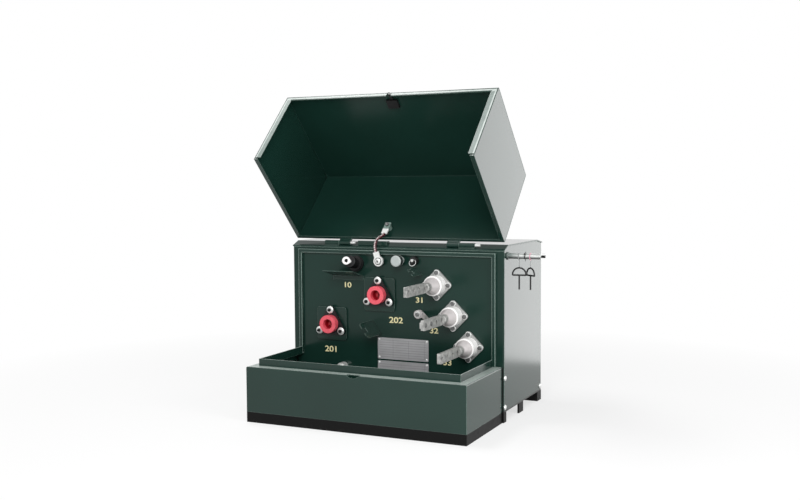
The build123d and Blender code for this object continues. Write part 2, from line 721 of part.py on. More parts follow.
strap_path = FilletPolyline(*route, radius=strap_radii)
print("earth strap length, mm:", round(strap_path.length))
strap_section = Plane(strap_path @ 0, z_dir=strap_path % 0) * Circle(strap_diameter / 2)
nodes["earth_strap"] = sweep(strap_section, path=strap_path)

# Lifting pin on the tank's right side, with a collar at the wall and a thinner tip.
lift_z = tank_height - lift_drop
lift_align = (Align.CENTER, Align.CENTER, Align.MIN)
lift = Cylinder(lift_diameter / 2, lift_length, align=lift_align)
lift += Cylinder(lift_collar_diameter / 2, lift_collar_length, align=lift_align)
lift += Pos(0, 0, lift_length) * Cylinder(lift_tip_diameter / 2, lift_tip_length, align=lift_align)
nodes["lifting_pins"] = Pos(half_body, lift_y, lift_z) * Rot(0, 90, 0) * lift

# Locking pins: a bent wire loop on a straight stem, hung from the lifting pin by a wire tie.
eyes = []
ring_inner = eye_tie_ring_diameter / 2 - eye_tie_wire
ring_top = lift_diameter / 2 + eye_tie_clearance - ring_inner
drop = eye_tie_ring_diameter / 2 - eye_tie_wire / 2
loop_low = -drop - eye_tie_length - eye_loop_height
half_loop = eye_loop_width / 2
for eye_place, eye_turn in zip(eye_places, eye_turns):
    tie_ring = Cylinder(eye_tie_ring_diameter / 2, eye_tie_wire) - Cylinder(ring_inner, eye_tie_wire)
    pin = Rot(0, 90, 0) * tie_ring
    pin += Pos(0, 0, -drop - eye_tie_length / 2) * Cylinder(eye_tie_wire / 2, eye_tie_length)
    arch_top = (0, 0, loop_low + eye_loop_height)
    arch = ThreePointArc((-half_loop, 0, loop_low), arch_top, (half_loop, 0, loop_low))
    loop = sweep(Plane(arch @ 0, z_dir=arch % 0) * Circle(eye_wire / 2), path=arch)
    loop += Pos(0, 0, loop_low) * Rot(0, 90, 0) * Cylinder(eye_wire / 2, eye_loop_width)
    stem = Cylinder(eye_wire / 2, eye_stem_length, align=(Align.CENTER, Align.CENTER, Align.MAX))
    loop += Pos(0, 0, loop_low) * stem
    pin += Rot(0, 0, eye_turn) * loop
    eyes.append(Pos(half_body + eye_place, lift_y, lift_z + ring_top) * pin)
nodes["eye_pins"] = Compound(eyes)

# Latch box inside the hood's front, with a tongue that drops into the sill's recess when shut.
latch_x = (lock_x - latch_width / 2, lock_x + latch_width / 2)
latch_y = (hood_front + sheet, hood_front + sheet + latch_depth)
latch_low = hood_bottom + latch_set_in
latch = block(latch_x, latch_y, (latch_low, latch_low + latch_height))
tongue_x = (lock_x - tongue_width / 2, lock_x + tongue_width / 2)
tongue_y = (hood_front + sheet, hood_front + sheet + tongue_thickness)
latch += block(tongue_x, tongue_y, (ledge_height - tongue_below_ledge, latch_low))
nodes["hood_latch"] = opened(latch)

os.makedirs("parts", exist_ok=True)
for node_name, solid in nodes.items():
    export_step(Pos(0, footprint_shift, 0) * solid, "parts/" + node_name + ".step")
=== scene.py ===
import bpy
import json
import math
from mathutils import Matrix, Vector


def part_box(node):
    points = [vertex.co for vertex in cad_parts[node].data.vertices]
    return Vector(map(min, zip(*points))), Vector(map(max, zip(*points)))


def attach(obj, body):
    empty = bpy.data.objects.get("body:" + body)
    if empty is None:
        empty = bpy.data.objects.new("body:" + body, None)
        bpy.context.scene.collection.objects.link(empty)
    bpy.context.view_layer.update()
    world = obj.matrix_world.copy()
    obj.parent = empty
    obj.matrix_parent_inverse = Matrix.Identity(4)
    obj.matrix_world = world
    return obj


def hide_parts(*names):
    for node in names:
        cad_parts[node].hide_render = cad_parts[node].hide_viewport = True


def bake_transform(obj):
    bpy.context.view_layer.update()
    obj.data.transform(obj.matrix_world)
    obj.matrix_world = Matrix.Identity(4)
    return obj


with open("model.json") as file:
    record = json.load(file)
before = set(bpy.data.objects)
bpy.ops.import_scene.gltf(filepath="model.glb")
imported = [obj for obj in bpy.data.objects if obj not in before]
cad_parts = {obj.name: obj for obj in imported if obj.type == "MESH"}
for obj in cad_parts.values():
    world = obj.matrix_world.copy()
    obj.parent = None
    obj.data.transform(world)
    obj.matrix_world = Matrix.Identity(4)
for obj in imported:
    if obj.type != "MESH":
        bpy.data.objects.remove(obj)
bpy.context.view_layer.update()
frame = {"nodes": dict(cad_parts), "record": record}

# Base rails and feet: folded steel channels under the tank and the sill that keep the sheet off
# the ground. They have a satin black base coat, a little scuffed along the ground.


class Wire:
    """A socket in a material. Sums written with it add Math nodes to that material."""

    def __init__(self, tree, socket=None):
        self.tree = tree
        self.socket = socket

    def node(self, kind, settings, sockets, out=0):
        """Adds a node: its settings first, then a value or a link for each socket."""
        made = self.tree.nodes.new("ShaderNode" + kind)
        for name, value in settings.items():
            setattr(made, name, value)
        for name, value in sockets.items():
            if isinstance(value, Wire):
                self.tree.links.new(value.socket, made.inputs[name])
            else:
                made.inputs[name].default_value = value
        return Wire(self.tree, made.outputs[out])

    def math(self, operation, first, second=0.0, clamp=False):
        settings = {"operation": operation, "use_clamp": clamp}
        return self.node("Math", settings, {0: first, 1: second})

    def __add__(self, other):
        return self.math("ADD", self, other)

    __radd__ = __add__

    def __sub__(self, other):
        return self.math("SUBTRACT", self, other)

    def __rsub__(self, other):
        return self.math("SUBTRACT", other, self)

    def __mul__(self, other):
        return self.math("MULTIPLY", self, other)

    __rmul__ = __mul__

    def clipped(self):
        return self.math("ADD", self, 0.0, clamp=True)

    def between(self, low, high):
        """0 below low, 1 above high and an even slope between them."""
        return ((self - low) * (1 / (high - low))).clipped()

    def colour(self, share, low, high):
        """Low colour where share is 0 and high colour where it is 1."""
        return self.node("Mix", {"data_type": "RGBA"}, {0: share, 6: low, 7: high}, 2)

    def noise(self, vector, scale, detail=2.0, rough=0.5):
        sockets = {"Vector": vector, "Scale": scale, "Detail": detail, "Roughness": rough}
        return self.node("TexNoise", {}, sockets)

    def bump(self, height, strength, distance, **extra):
        sockets = {"Strength": strength, "Distance": distance, "Height": height, **extra}
        return self.node("Bump", {}, sockets)

    def spread(self, kind="Object"):
        """Position on the piece, or its facing, which travel with it."""
        return self.node("TexCoord", {}, {}, kind)

    def axes(self, vector):
        """The three numbers of a vector."""
        parts = self.node("SeparateXYZ", {}, {"Vector": vector}).socket.node.outputs
        return [Wire(self.tree, part) for part in parts]

    def dot(self, first, second):
        """How far one vector reaches along another."""
        return self.node("VectorMath", {"operation": "DOT_PRODUCT"}, {0: first, 1: second}, "Value")

    def from_axis(self, across, up):
        """Distance from an axis, from the distances across and up from it."""
        return self.math("SQRT", across * across + up * up)


def new_finish(name, sockets):
    """A material with one main shader whose plain sockets are set here."""
    finish = bpy.data.materials.new(name)
    finish.use_nodes = True
    shader = finish.node_tree.nodes["Principled BSDF"]
    for socket, value in sockets.items():
        shader.inputs[socket].default_value = value
    return finish, Wire(finish.node_tree)


def feed(finish, sockets):
    """Links what varies over the surface to the main shader."""
    shader = finish.node_tree.nodes["Principled BSDF"]
    for socket, wire in sockets.items():
        finish.node_tree.links.new(wire.socket, shader.inputs[socket])


def coat(finish, *names):
    """Gives CAD nodes their finish."""
    for name in names:
        mesh = frame["nodes"][name].data
        mesh.materials.clear()
        mesh.materials.append(finish)


def rgb(red, green, blue):
    """A colour as seen on a screen, 0 to 255, in the linear scale that shaders use."""
    linear = []
    for value in (red / 255, green / 255, blue / 255):
        linear.append(value / 12.92 if value <= 0.04045 else ((value + 0.055) / 1.055) ** 2.4)
    return (*linear, 1)


black_coat = rgb(9, 9, 9)
scuffed_height = 0.02
base_paint, wire = new_finish("black_base_paint", {"IOR": 1.4, "Specular IOR Level": 0.2})
spread = wire.spread()
scuff = wire.noise(spread, 60.0, 6.0, 0.7).between(0.55, 0.75)
low_down = 1 - wire.axes(spread)[2].between(0.0, scuffed_height)
grain = wire.noise(spread, 900.0)
feed(base_paint, {
    "Base Color": wire.colour(scuff * low_down * 0.5, black_coat, rgb(52, 51, 48)),
    "Roughness": 0.5 + scuff * 0.2,
    "Normal": wire.bump(grain, 0.1, 0.0003),
})
coat(base_paint, "front_base_rail", "rear_base_rail", "middle_feet")
coat(base_paint, "sill_front_rail", "sill_right_side_rail", "sill_left_side_rail")

# Tank: a welded steel box of oil with a thick front plate and a bent cover, sprayed in dark green
# gloss enamel. Its walls are black for a few millimetres above the base, and the joint between the
# front plate and the sides of the sill is black as a painted shadow.
black_band_top = 0.041
joint_start = 0.398
ledge_height = 0.193


def enamel(name, gloss, skirt=None, edge_wear_and_highlight=0.5, edge_width=0.0018, rub_and_sheen=None, shine=1.38):
    """Sprayed gloss enamel with a faint orange peel, soft shade changes and thin, pale edges.

    The pale edges and creases are partly thin paint and partly a painted highlight. Below the skirt
    height the surface is black, and in the joint beside the sill it is black as a painted shadow.
    The rubbing argument is a direction, a distance and the way across: surfaces that face that way,
    at least that far out, are dull and pale, partly worn and partly a painted reflection. Where a
    way across is given they keep dark lines along its edges, the front lip's inner one a painted
    shadow, and a painted highlight runs beside the bend.
    """
    finish, wire = new_finish(name, {"IOR": shine})
    spread = wire.spread()
    broad = wire.noise(spread, 3.0)
    fine = wire.noise(spread, 1500.0, 1.0)
    peel = wire.noise(spread, 330.0, 1.0)
    flat = wire.node("NewGeometry", {}, {}, "Normal")
    eased = wire.node("Bevel", {"samples": 8}, {"Radius": edge_width})
    # Pale edges and creases: partly thin paint, partly a painted highlight.
    edge = (1 - wire.dot(flat, eased)).between(0.01, 0.2)
    film = wire.colour(broad.between(0.35, 0.65), rgb(17, 43, 36), rgb(19, 47, 40))
    film = wire.colour(fine * 0.06, film, rgb(60, 78, 72))
    film = wire.colour(edge * edge_wear_and_highlight, film, rgb(150, 172, 163))
    roughness = gloss + broad * 0.05
    # Pale where the surface is rubbed: partly wear, partly a painted reflection of the light above.
    if rub_and_sheen:
        direction, distance, across = rub_and_sheen
        outward = wire.dot(spread, direction).between(distance - 0.001, distance)
        turned_face = outward * wire.dot(wire.spread("Normal"), direction).between(0.9, 0.96)
        streak = wire.noise(spread, 55.0, 4.0, 0.6).between(0.3, 0.62)
        wear_and_sheen = turned_face * (0.8 + streak * 0.2)
        dull = rgb(152, 163, 158)
        if across:
            from_bend, inner_edge_shadow = across(wire, spread)
            film = wire.colour(turned_face, film, rgb(24, 48, 41))
            # The front lip's inner edge stays dark as a painted shadow; the paler band beside the
            # bend is a painted highlight.
            wear_and_sheen = wear_and_sheen * from_bend.between(0.0025, 0.0035) * (1 - inner_edge_shadow)
            further_in = from_bend.between(0.007, 0.009)
            dull = wire.colour(further_in, rgb(176, 184, 180), rgb(112, 124, 119))
        film = wire.colour(wear_and_sheen, film, dull)
        roughness = roughness + wear_and_sheen * 0.15
    if skirt:
        along, _, up = wire.axes(spread)
        _, away, _ = wire.axes(wire.spread("Normal"))
        # The joint beside the sill is black as a painted shadow; below the skirt height the surface
        # is black.
        joint = wire.math("ABSOLUTE", along).between(joint_start, joint_start + 0.001)
        joint = joint * (1 - up.between(ledge_height - 0.001, ledge_height))
        below = 1 - up.between(skirt, skirt + 0.0006)
        below = wire.math("MAXIMUM", below, joint * (away * -1).between(0.8, 0.9))
        film = wire.colour(below, film, black_coat)
        roughness = roughness + below * 0.2
    feed(finish, {
        "Base Color": film,
        "Roughness": roughness,
        "Normal": wire.bump(peel, 0.008, 0.0003, Normal=eased),
    })
    return finish


tank_paint = enamel("tank_enamel", 0.17, black_band_top, 0.8, 0.004, shine=1.5)
coat(tank_paint, "tank_body")
front_paint = enamel("front_enamel", 0.17, black_band_top, 0.9, 0.004, shine=1.32)
coat(front_paint, "tank_front_plate")
coat(enamel("cover_enamel", 0.05, shine=1.3), "tank_cover")

# Cable sill: a low box of folded sheet, open underneath for the cables, with an upstand rim that
# the hood shuts over. It is bolted to the tank's sides, with the heads of those bolts left bright.
# Its ledge is pale where the hood's lips rub it, partly worn and partly a painted reflection.
sill_wear_and_sheen = ((0, 0, 1), ledge_height - 0.0005, None)
sill_paint = enamel("sill_enamel", 0.17, rub_and_sheen=sill_wear_and_sheen, shine=1.43)
coat(sill_paint, "sill_front", "sill_right_side", "sill_left_side")
mm = 0.001
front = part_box("tank_front_plate")[0].y


def turned(steps, sides=24):
    """A closed piece turned about Z from (radius, height) steps in millimetres."""
    points = []
    for radius, height in steps:
        for side in range(sides):
            angle = 2 * math.pi * side / sides
            points.append(Vector((radius * math.cos(angle), radius * math.sin(angle), height)))
    faces = [tuple(range(sides))[::-1], tuple(range(len(points) - sides, len(points)))]
    for ring in range(0, len(points) - sides, sides):
        for side in range(sides):
            after = (side + 1) % sides
            faces.append((ring + side, ring + after, ring + sides + after, ring + sides + side))
    return points, faces


def ring(middle, wire_radius, sides=40):
    """A closed ring of round wire about Z, in millimetres."""
    points = []
    faces = []
    around = 10
    for side in range(sides):
        angle = 2 * math.pi * side / sides
        for step in range(around):
            turn = 2 * math.pi * step / around
            out = middle + wire_radius * math.cos(turn)
            up = wire_radius * math.sin(turn)
            points.append(Vector((out * math.cos(angle), out * math.sin(angle), up)))
            here, there = side * around, (side + 1) % sides * around
            after = (step + 1) % around
            faces.append((here + step, there + step, there + after, here + after))
    return points, faces


def placed(shape, at, out, spin=0.0):
    """A shape moved to a place, in millimetres from the front plate, its Z turned along out."""
    points, faces = shape
    turn = Vector(out).to_track_quat("Z", "Y").to_matrix()
    turn = turn @ Matrix.Rotation(math.radians(spin), 3, "Z")
    start = Vector((at[0] * mm, front + at[1] * mm, at[2] * mm))
    return [start + turn @ point * mm for point in points], faces


def make_piece(name, shapes, finish, body):
    """One piece made of several shapes, riding on a body."""
    points = []
    faces = []
    for shape_points, shape_faces in shapes:
        faces += [tuple(corner + len(points) for corner in face) for face in shape_faces]
        points += shape_points
    mesh = bpy.data.meshes.new(name)
    mesh.from_pydata(points, [], faces)
    mesh.shade_smooth()
    mesh.set_sharp_from_angle(angle=math.radians(35))
    mesh.materials.append(finish)
    made = bpy.data.objects.new(name, mesh)
    bpy.context.scene.collection.objects.link(made)
    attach(made, body)


zinc, wire = new_finish("zinc_steel", {"Metallic": 0.5})
spread = wire.spread()
cloud = wire.noise(spread, 120.0, 3.0)
feed(zinc, {
    "Base Color": wire.colour(cloud, rgb(210, 212, 210), rgb(234, 235, 233)),
    "Roughness": 0.28 + cloud * 0.16,
    "Normal": wire.bump(wire.noise(spread, 800.0), 0.08, 0.0002),
})
dome_head = turned([(8.5, 0.0), (8.5, 1.6), (7.6, 3.6), (5.2, 4.8), (2.4, 5.3)])
side_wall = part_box("tank_body")[1].x / mm
side_bolts = []
for bolt_y, bolt_z in ((10.0, 154.0), (10.0, 53.0), (408.0, 54.0)):
    for side in (-1, 1):
        side_bolts.append(placed(dome_head, (side * side_wall, bolt_y, bolt_z), (side, 0, 0)))
make_piece("side_bolts", side_bolts, zinc, "tank")

# Frame around the front: flat steel bars welded to the front plate, which close the gap behind
# the sill's rim. They are sprayed with the tank, and pale along their edges, partly worn and partly
# a painted highlight.
framing_paint = enamel("framing_enamel", 0.2, black_band_top, edge_wear_and_highlight=1.0, edge_width=0.005)
coat(framing_paint, "opening_rim")

# High-voltage bushing wells: red moulded epoxy cups on square welded pads, each held down by a
# black three-lobed clamp with a zinc washer, and a dark nut and stud, in every lobe.
fitting_paint = enamel("fitting_enamel", 0.2, edge_wear_and_highlight=0.45)
coat(fitting_paint, "hv_pads")
forward = (0, -1, 0)


def middle_of(name):
    """The middle of a node, across and up, in millimetres."""
    low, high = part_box(name)
    return (low.x + high.x) / 2 / mm, (low.z + high.z) / 2 / mm


well_middles = [middle_of("hv_well_a"), middle_of("hv_well_b")]
mouth_radius = 0.0185
black_foot = 19.0
red, wire = new_finish("red_epoxy", {"IOR": 1.5})
spread = wire.spread()
cloud = wire.noise(spread, 45.0)
speck = wire.noise(spread, 900.0)
along, depth, up = wire.axes(spread)
depth = (front - depth) * 1000
mould_lines = wire.math("PINGPONG", depth, 2.0)
# Painted shade: each cup's mouth is a darker red inside.
cup_shade = 0.0
for well_x, well_z in well_middles:
    away = wire.from_axis(along - well_x * mm, up - well_z * mm)
    cup_shade = cup_shade + (1 - away.between(mouth_radius - 0.0008, mouth_radius))
skin = wire.colour(cloud, rgb(222, 74, 90), rgb(234, 100, 112))
skin = wire.colour(depth.between(black_foot, black_foot + 1.5), rgb(16, 12, 13), skin)
feed(red, {
    "Base Color": wire.colour(cup_shade, skin, rgb(150, 10, 26)),
    "Roughness": 0.26 + speck * 0.12,
    "Normal": wire.bump(mould_lines, 0.04, 0.0002),
})
coat(red, "hv_well_a", "hv_well_b")
moulding_dark, moulding_pale = rgb(8, 8, 9), rgb(18, 18, 19)
moulding, wire = new_finish("black_moulding", {"IOR": 1.4})
spread = wire.spread()
grain = wire.noise(spread, 700.0)
cloud = wire.noise(spread, 40.0)
feed(moulding, {
    "Base Color": wire.colour(cloud, moulding_dark, moulding_pale),
    "Roughness": 0.42 + grain * 0.15,
    "Normal": wire.bump(grain, 0.08, 0.0002),
})
coat(moulding, "hv_clamps")
clamp_face = (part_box("hv_clamps")[0].y - front) / mm
nut_face = clamp_face - 5.0
stud_face = clamp_face - 10.8
lobe_radius = 51.0
washer = turned([(13.6, 0.0), (13.6, 2.2), (12.6, 3.4), (9.5, 4.8), (6.0, 5.2)])
nut = turned([(6.2, 0.0), (6.6, 0.6), (6.6, 5.6), (5.8, 6.2)], 6)
stud = turned([(4.2, 0.0), (4.2, 4.0), (3.4, 5.0)], 20)
washers = []
nuts = []
for well_x, well_z in well_middles:
    for angle in (90, 210, 330):
        lobe_x = well_x + lobe_radius * math.cos(math.radians(angle))
        lobe_z = well_z + lobe_radius * math.sin(math.radians(angle))
        washers.append(placed(washer, (lobe_x, clamp_face, lobe_z), forward))
        nuts.append(placed(nut, (lobe_x, nut_face, lobe_z), forward, angle * 0.3))
        nuts.append(placed(stud, (lobe_x, stud_face, lobe_z), forward))
make_piece("clamp_washers", washers, zinc, "tank")


def clouded_steel(name, metallic, dark, pale, rough):
    """Plain steel, a little darker and paler in soft clouds."""
    finish, wire = new_finish(name, {"Metallic": metallic})
    cloud = wire.noise(wire.spread(), 200.0, 3.0)
    feed(finish, {
        "Base Color": wire.colour(cloud, dark, pale),
        "Roughness": rough + cloud * 0.2,
    })
    return finish


dark_steel = clouded_steel("dark_steel", 0.6, rgb(14, 14, 15), rgb(34, 34, 34), 0.4)
make_piece("clamp_nuts", nuts, dark_steel, "tank")

# Low-voltage bushings: a cast flange on its corner, a white insulator ring, and a terminal turned
# down to a stud with a flat four-hole spade, tinned. Four bolts hold each flange.
cast, wire = new_finish("cast_aluminium", {"Metallic": 0.35})
spread = wire.spread()
cloud = wire.noise(spread, 70.0, 4.0)
grit = wire.noise(spread, 650.0)
eased = wire.node("Bevel", {"samples": 6}, {"Radius": 0.002})
feed(cast, {
    "Base Color": wire.colour(cloud, rgb(138, 140, 139), rgb(176, 177, 175)),
    "Roughness": 0.4 + grit * 0.15,
    "Normal": wire.bump(grit, 0.2, 0.0004, Normal=eased),
})
coat(cast, "lv_flanges")
white, wire = new_finish("white_insulator", {"IOR": 1.5})
spread = wire.spread()
cloud = wire.noise(spread, 30.0)
speck = wire.noise(spread, 500.0).between(0.66, 0.74)
glaze = wire.colour(cloud, rgb(232, 231, 229), rgb(242, 241, 240))
feed(white, {
    "Base Color": wire.colour(speck * 0.25, glaze, rgb(170, 166, 160)),
    "Roughness": 0.2 + cloud * 0.12,
})
coat(white, "lv_insulators")
spade_start = 0.082
tinned, wire = new_finish("tinned_terminal", {"Metallic": 0.25})
spread = wire.spread()
cloud = wire.noise(spread, 90.0, 5.0, 0.6)
drawn = wire.node("Mapping", {}, {"Vector": spread, "Scale": (260.0, 18.0, 260.0)})
streak = wire.noise(drawn, 1.0, 3.0)
out = (front - wire.axes(spread)[1]).between(spade_start, spade_start + 0.008)
spade = wire.colour(cloud.between(0.3, 0.7), rgb(118, 120, 118), rgb(184, 184, 181))
cone = wire.colour(cloud, rgb(186, 181, 181), rgb(214, 209, 208))
feed(tinned, {
    "Base Color": wire.colour(out, cone, spade),
    "Roughness": 0.3 + cloud * 0.25,
    "Normal": wire.bump(streak, 0.12, 0.0004),
})
coat(tinned, "lv_terminal_1", "lv_terminal_2", "lv_terminal_3", "neutral_link")
bolt_head = turned([(7.6, 0.0), (8.0, 0.6), (8.0, 5.6), (6.8, 6.4)], 6)
small_washer = turned([(10.8, 0.0), (10.8, 1.4), (10.2, 2.0), (6.0, 2.0)])
flange_face = (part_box("lv_flanges")[0].y - front) / mm
bolt_face = flange_face - 2.0
bolt_reach = 43.5
bolt_offsets = ((bolt_reach, 0), (-bolt_reach, 0), (0, bolt_reach), (0, -bolt_reach))
bushings = [middle_of("lv_terminal_" + str(number)) for number in (1, 2, 3)]
flange_washers = []
flange_bolts = []
for count, (bush_x, bush_z) in enumerate(bushings):
    for step, (across, up) in enumerate(bolt_offsets):
        x, z = bush_x + across, bush_z + up
        spin = 17 * step + 31 * count
        flange_washers.append(placed(small_washer, (x, flange_face, z), forward))
        flange_bolts.append(placed(bolt_head, (x, bolt_face, z), forward, spin))
make_piece("flange_washers", flange_washers, zinc, "tank")
bolt_steel = clouded_steel("bolt_steel", 0.8, rgb(84, 86, 86), rgb(132, 133, 132), 0.3)
make_piece("flange_bolts", flange_bolts, bolt_steel, "tank")

# Neutral link: a bent tinned strap from a boss on the front plate to the middle spade, bolted
# through the spade's two outer holes and into the boss.
middle_x, middle_z = bushings[1]
spade_tip = (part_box("neutral_link")[0].y - front) / mm
first_hole = 13.0
hole_pitch = 44.45
low_head = turned([(7.6, 0.0), (7.6, 1.4), (6.2, 2.6), (3.4, 3.2)])
link_bolts = []
for hole in (0, 1):
    hole_y = spade_tip + first_hole + hole * hole_pitch
    for side, thickness in ((1, 6.0), (-1, 10.0)):
        at = (middle_x + side * thickness, hole_y, middle_z)
        link_bolts.append(placed(low_head, at, (side, 0, 0)))
make_piece("link_bolts", link_bolts, bolt_steel, "tank")
boss_x = 100.0
boss_face = -16.0
boss_washer = turned([(12.0, 0.0), (12.0, 1.6), (11.0, 2.6), (7.0, 2.6)])
boss_washer = placed(boss_washer, (boss_x, boss_face, middle_z), forward)
make_piece("link_washer", [boss_washer], zinc, "tank")
boss_bolt = [
    placed(bolt_head, (boss_x, boss_face - 2.4, middle_z), forward, 12),
    placed(ring(12.0, 0.8), (boss_x, boss_face - 0.2, middle_z), forward),
]
make_piece("link_boss_bolt", boss_bolt, bolt_steel, "tank")

# Fuse holder: a black moulded barrel that leans up on a wedge seat, drawn out by a white pull eye,
# with a folded drip shield beside and below it, painted with the tank.
coat(moulding, "fuse_holder")
coat(white, "fuse_pull_eye")
green = enamel("green_enamel", 0.17)
coat(green, "fuse_drip_shield")

# Parking stands: slotted steel plates welded to the front plate, where a cable elbow hangs while
# it is off its well. They are sprayed with the plate.
coat(fitting_paint, "parking_stands")

# Nameplates: satin metal plates with ruled rows and columns and nothing written in them, held by a
# rivet at each corner.
rivet = turned([(4.2, 0.0), (4.2, 0.6), (3.4, 1.6), (1.6, 2.2)], 18)
rivet_inset = 6.5


def ruled_plate(name, row, column):
    """Satin plate with dark ruled lines a row apart, and a few columns."""
    low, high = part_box(name)
    finish, wire = new_finish(name + "_metal", {"Metallic": 0.5})
    spread = wire.spread()
    along, _, up = wire.axes(spread)
    inside = 1.0
    for place, start, end, margin in ((along, low.x, high.x, 0.008), (up, low.z, high.z, 0.006)):
        inside = inside * (place - start).between(margin, margin + 0.0005)
        inside = inside * (end - place).between(margin, margin + 0.0005)
    rows = 1 - wire.math("PINGPONG", up - low.z, row / 2).between(0.0004, 0.0009)
    columns = 1 - wire.math("PINGPONG", along - low.x, column / 2).between(0.0003, 0.0008)
    brushed = wire.node("Mapping", {}, {"Vector": spread, "Scale": (12.0, 1.0, 420.0)})
    streak = wire.noise(brushed, 1.0, 3.0)
    cloud = wire.noise(spread, 24.0, 3.0)
    metal = wire.colour(streak * 0.5 + cloud * 0.5, rgb(142, 142, 144), rgb(198, 198, 200))
    lines = (rows + columns).clipped() * inside
    feed(finish, {
        "Base Color": wire.colour(lines * (0.2 + cloud * 0.5), metal, rgb(60, 61, 63)),
        "Roughness": 0.38 + streak * 0.15 + lines * 0.1,
        "Normal": wire.bump(streak - lines, 0.08, 0.0002),
    })
    coat(finish, name)
    corners = []
    for x in (low.x / mm + rivet_inset, high.x / mm - rivet_inset):
        for z in (low.z / mm + rivet_inset, high.z / mm - rivet_inset):
            corners.append(placed(rivet, (x, (low.y - front) / mm, z), forward))
    make_piece(name + "_rivets", corners, zinc, "tank")


ruled_plate("nameplate", 0.0086, 0.061)
ruled_plate("lower_plate", 0.0086, 0.092)

# Tank fittings: a pale plastic fill plug with a gasket and a dark band over its thread, behind its
# face, as painted shadow, a relief valve with a dark body and a dark ring round its stem as painted
# shade, a bright rim and a pull ring, and a zinc plated drain valve down behind the rim.
shade_band_start, shade_band_end = 26.0, 43.0
plastic, wire = new_finish("white_plastic", {"IOR": 1.45})
spread = wire.spread()
cloud = wire.noise(spread, 60.0)
depth = (front - wire.axes(spread)[1]) * 1000
# Painted shadow: the band of the thread, behind the cap's face, is dark.
thread = depth.between(shade_band_start - 0.5, shade_band_start + 0.5)
thread = thread * (1 - depth.between(shade_band_end - 0.5, shade_band_end + 0.5))
shell = wire.colour(cloud, rgb(158, 166, 164), rgb(176, 183, 181))
feed(plastic, {
    "Base Color": wire.colour(thread, shell, rgb(16, 20, 19)),
    "Roughness": 0.35 + cloud * 0.15,
})
coat(plastic, "fill_plug")
coat(zinc, "drain_valve")
plug_x, plug_z = middle_of("fill_plug")
gasket = placed(ring(16.5, 2.6), (plug_x, -19.5, plug_z), forward)
make_piece("plug_gasket", [gasket], moulding, "tank")
relief_x, relief_z = middle_of("relief_valve")
rim_start = 21.0
stem_lift = 0.0035
valve_metal, wire = new_finish("relief_metal", {"IOR": 1.45})
spread = wire.spread()
cloud = wire.noise(spread, 160.0, 3.0)
along, depth, up = wire.axes(spread)
body = 1 - ((front - depth) * 1000).between(rim_start, rim_start + 1.0)
off_x = along - relief_x * mm
off_z = up - relief_z * mm
from_middle = wire.from_axis(off_x, off_z)
from_stem = wire.from_axis(off_x, off_z - stem_lift)
# Painted shade: a dark ring between the stem and the rim, as of a hollow; the body behind the rim
# is dark too.
ring_shade_and_body = from_stem.between(0.0052, 0.006) * (1 - from_middle.between(0.0112, 0.012))
ring_shade_and_body = wire.math("MAXIMUM", ring_shade_and_body, body)
bright = wire.colour(cloud, rgb(176, 179, 177), rgb(212, 214, 212))
feed(valve_metal, {
    "Base Color": wire.colour(ring_shade_and_body, bright, rgb(12, 13, 13)),
    "Roughness": 0.3 + cloud * 0.2,
    "Metallic": 0.4 - ring_shade_and_body * 0.4,
})
coat(valve_metal, "relief_valve")
collar = turned([(12.0, 0.0), (12.0, 3.0), (10.5, 4.2), (8.0, 4.2)])
collar = placed(collar, (relief_x, -16.0, relief_z), forward)
make_piece("relief_collar", [collar], moulding, "tank")
pull = placed(ring(12.0, 1.1), (relief_x, -23.5, relief_z - 5.5), (0.0, -0.9, 0.43))
make_piece("relief_pull_ring", [pull], zinc, "tank")

# Painted numbers: plain numbers in yellow enamel, sprayed through stencils beside the fittings.
# The coat is thin, so the green shows through it in patches.
yellow, wire = new_finish("yellow_paint", {"IOR": 1.45})
thin = wire.noise(wire.spread(), 260.0, 4.0, 0.6)
patchy = thin.between(0.5, 0.75) * 0.5
feed(yellow, {
    "Base Color": wire.colour(patchy, rgb(236, 228, 178), rgb(158, 154, 112)),
    "Roughness": 0.4 + thin * 0.2,
})
paint_thickness = 0.0002
size_for_height = 1.4
stencil_stretch = 1.25


def number_at(text, x, z, height):
    """A stencilled number lying on the front plate."""
    letters = bpy.data.curves.new("number_" + text, "FONT")
    letters.body = text
    letters.size = height * size_for_height * mm
    letters.offset = 0.0005
    letters.extrude = paint_thickness
    letters.align_x = "CENTER"
    letters.align_y = "CENTER"
    holder = bpy.data.objects.new("number_" + text, letters)
    bpy.context.scene.collection.objects.link(holder)
    bpy.context.view_layer.update()
    evaluated = holder.evaluated_get(bpy.context.evaluated_depsgraph_get())
    mesh = bpy.data.meshes.new_from_object(evaluated)
    bpy.data.objects.remove(holder)
    upright = Matrix.Translation((x * mm, front - paint_thickness, z * mm))
    upright = upright @ Matrix.Rotation(math.pi / 2, 4, "X")
    mesh.transform(upright @ Matrix.Diagonal((stencil_stretch, 1, 1, 1)))
    mesh.materials.clear()
    mesh.materials.append(yellow)
    made = bpy.data.objects.new("number_" + text, mesh)
    bpy.context.scene.collection.objects.link(made)
    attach(made, "tank")


number_at("10", -187.0, 453.0, 19.0)
number_at("201", -256.0, 213.0, 21.0)
number_at("202", 8.0, 333.0, 21.0)
number_at("31", 101.0, 409.0, 19.0)
number_at("32", 155.0, 303.5, 19.0)
number_at("33", 206.0, 194.0, 19.0)

# Hinges and stop: knuckles welded to the cover and arms welded to the hood, painted with them, on
# bright pins; a bar on the cover stops the hood.
coat(green, "tank_hinge_knuckles", "hood_hinge_knuckles", "hood_stop")
coat(zinc, "hinge_pins")

